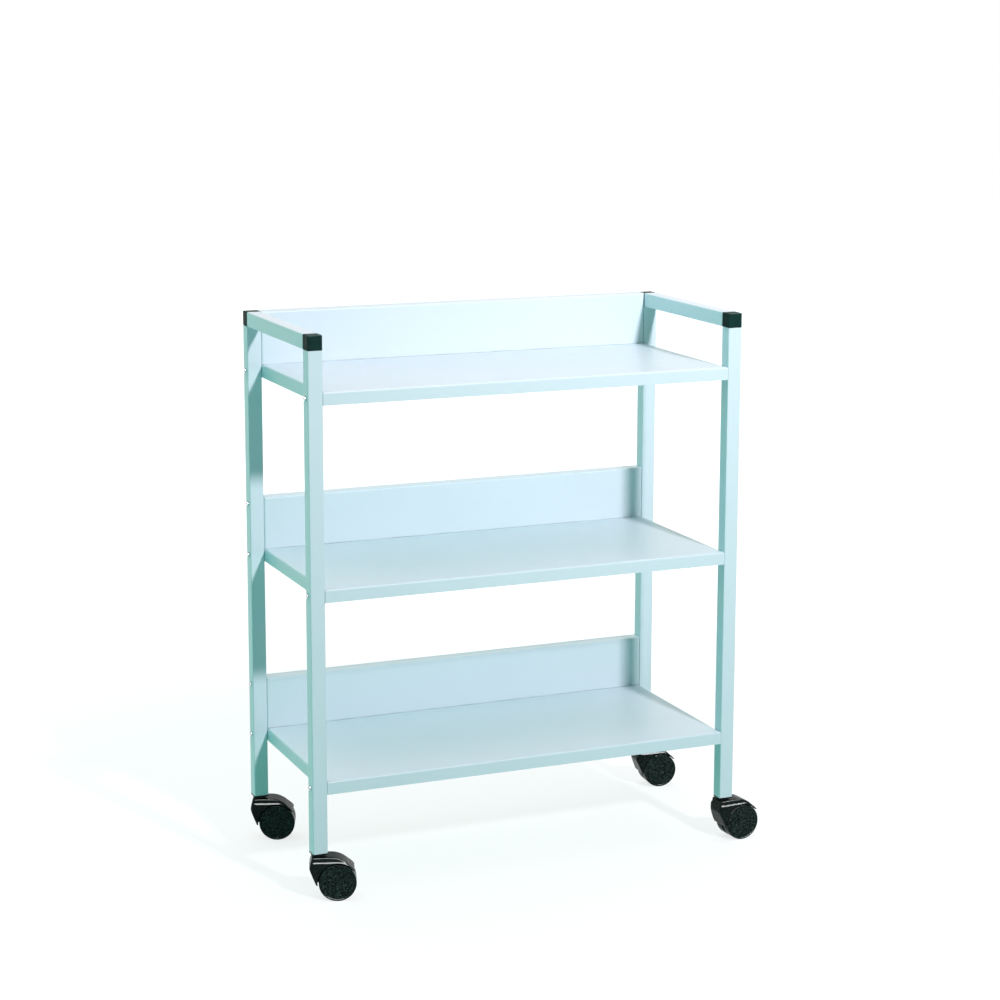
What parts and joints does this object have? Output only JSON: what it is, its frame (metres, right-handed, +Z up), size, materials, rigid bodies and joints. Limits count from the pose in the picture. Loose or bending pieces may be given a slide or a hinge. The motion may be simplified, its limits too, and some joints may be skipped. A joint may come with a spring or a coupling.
{
  "type": "medical trolley",
  "caption": "Medical trolley of square steel tube with folded steel trays, each with a front lip and a rear upstand, on hooded twin-wheel swivel casters.",
  "frame": {"origin": "on the floor, midway between the four posts", "axes": "+X to the right, +Y to the back (the upstands' side), +Z up"},
  "size_m": [0.839, 0.3862, 0.942],
  "materials": {
    "powder_coat": "pale blue-white powder coat, satin",
    "joint_plastic": "black moulded plastic",
    "hood_nylon": "black moulded nylon, fine grain",
    "wheel_nylon": "black moulded nylon, satin",
    "plated_steel": "bright zinc plate"
  },
  "bodies": {
    "frame": {"front_left_post": "powder_coat", "front_right_post": "powder_coat", "rear_left_post": "powder_coat", "rear_right_post": "powder_coat", "left_rail": "powder_coat", "right_rail": "powder_coat", "front_left_corner": "joint_plastic", "front_right_corner": "joint_plastic", "rear_left_corner": "joint_plastic", "rear_right_corner": "joint_plastic", "bottom_tray": "powder_coat", "middle_tray": "powder_coat", "top_tray": "powder_coat", "bottom_tray_screws": "plated_steel", "middle_tray_screws": "plated_steel", "top_tray_screws": "plated_steel", "bottom_tray_nuts": "plated_steel", "middle_tray_nuts": "plated_steel", "top_tray_nuts": "plated_steel", "front_left_socket": "joint_plastic", "front_right_socket": "joint_plastic", "rear_left_socket": "joint_plastic", "rear_right_socket": "joint_plastic", "front_left_stem": "plated_steel", "front_right_stem": "plated_steel", "rear_left_stem": "plated_steel", "rear_right_stem": "plated_steel", "front_left_grip_ring": "plated_steel", "front_right_grip_ring": "plated_steel", "rear_left_grip_ring": "plated_steel", "rear_right_grip_ring": "plated_steel", "front_left_stem_clip": "plated_steel", "front_right_stem_clip": "plated_steel", "rear_left_stem_clip": "plated_steel", "rear_right_stem_clip": "plated_steel"},
    "front_left_caster": {"front_left_hood": "hood_nylon", "front_left_axle": "plated_steel"},
    "front_left_near_wheel": {"front_left_near_wheel": "wheel_nylon"},
    "front_left_far_wheel": {"front_left_far_wheel": "wheel_nylon"},
    "front_right_caster": {"front_right_hood": "hood_nylon", "front_right_axle": "plated_steel"},
    "front_right_near_wheel": {"front_right_near_wheel": "wheel_nylon"},
    "front_right_far_wheel": {"front_right_far_wheel": "wheel_nylon"},
    "rear_left_caster": {"rear_left_hood": "hood_nylon", "rear_left_axle": "plated_steel"},
    "rear_left_near_wheel": {"rear_left_near_wheel": "wheel_nylon"},
    "rear_left_far_wheel": {"rear_left_far_wheel": "wheel_nylon"},
    "rear_right_caster": {"rear_right_hood": "hood_nylon", "rear_right_axle": "plated_steel"},
    "rear_right_near_wheel": {"rear_right_near_wheel": "wheel_nylon"},
    "rear_right_far_wheel": {"rear_right_far_wheel": "wheel_nylon"}
  },
  "joints": [
    {"name": "front_left_swivel", "type": "hinge", "parent": "frame", "child": "front_left_caster", "pos_m": [-0.3775, -0.1625, 0.07], "axis": [0, 0, 1], "continuous": true},
    {"name": "front_left_near_spin", "type": "hinge", "parent": "front_left_caster", "child": "front_left_near_wheel", "pos_m": [-0.34802, -0.17208, 0.0315], "axis": [0.309, 0.9511, 0], "continuous": true},
    {"name": "front_left_far_spin", "type": "hinge", "parent": "front_left_caster", "child": "front_left_far_wheel", "pos_m": [-0.34802, -0.17208, 0.0315], "axis": [0.309, 0.9511, 0], "continuous": true},
    {"name": "front_right_swivel", "type": "hinge", "parent": "frame", "child": "front_right_caster", "pos_m": [0.3775, -0.1625, 0.07], "axis": [0, 0, 1], "continuous": true},
    {"name": "front_right_near_spin", "type": "hinge", "parent": "front_right_caster", "child": "front_right_near_wheel", "pos_m": [0.40842, -0.16034, 0.0315], "axis": [-0.0698, 0.9976, 0], "continuous": true},
    {"name": "front_right_far_spin", "type": "hinge", "parent": "front_right_caster", "child": "front_right_far_wheel", "pos_m": [0.40842, -0.16034, 0.0315], "axis": [-0.0698, 0.9976, 0], "continuous": true},
    {"name": "rear_left_swivel", "type": "hinge", "parent": "frame", "child": "rear_left_caster", "pos_m": [-0.3775, 0.1625, 0.07], "axis": [0, 0, 1], "continuous": true},
    {"name": "rear_left_near_spin", "type": "hinge", "parent": "rear_left_caster", "child": "rear_left_near_wheel", "pos_m": [-0.34856, 0.15139, 0.0315], "axis": [0.3584, 0.9336, 0], "continuous": true},
    {"name": "rear_left_far_spin", "type": "hinge", "parent": "rear_left_caster", "child": "rear_left_far_wheel", "pos_m": [-0.34856, 0.15139, 0.0315], "axis": [0.3584, 0.9336, 0], "continuous": true},
    {"name": "rear_right_swivel", "type": "hinge", "parent": "frame", "child": "rear_right_caster", "pos_m": [0.3775, 0.1625, 0.07], "axis": [0, 0, 1], "continuous": true},
    {"name": "rear_right_near_spin", "type": "hinge", "parent": "rear_right_caster", "child": "rear_right_near_wheel", "pos_m": [0.40838, 0.1598, 0.0315], "axis": [0.0872, 0.9962, 0], "continuous": true},
    {"name": "rear_right_far_spin", "type": "hinge", "parent": "rear_right_caster", "child": "rear_right_far_wheel", "pos_m": [0.40838, 0.1598, 0.0315], "axis": [0.0872, 0.9962, 0], "continuous": true}
  ]
}
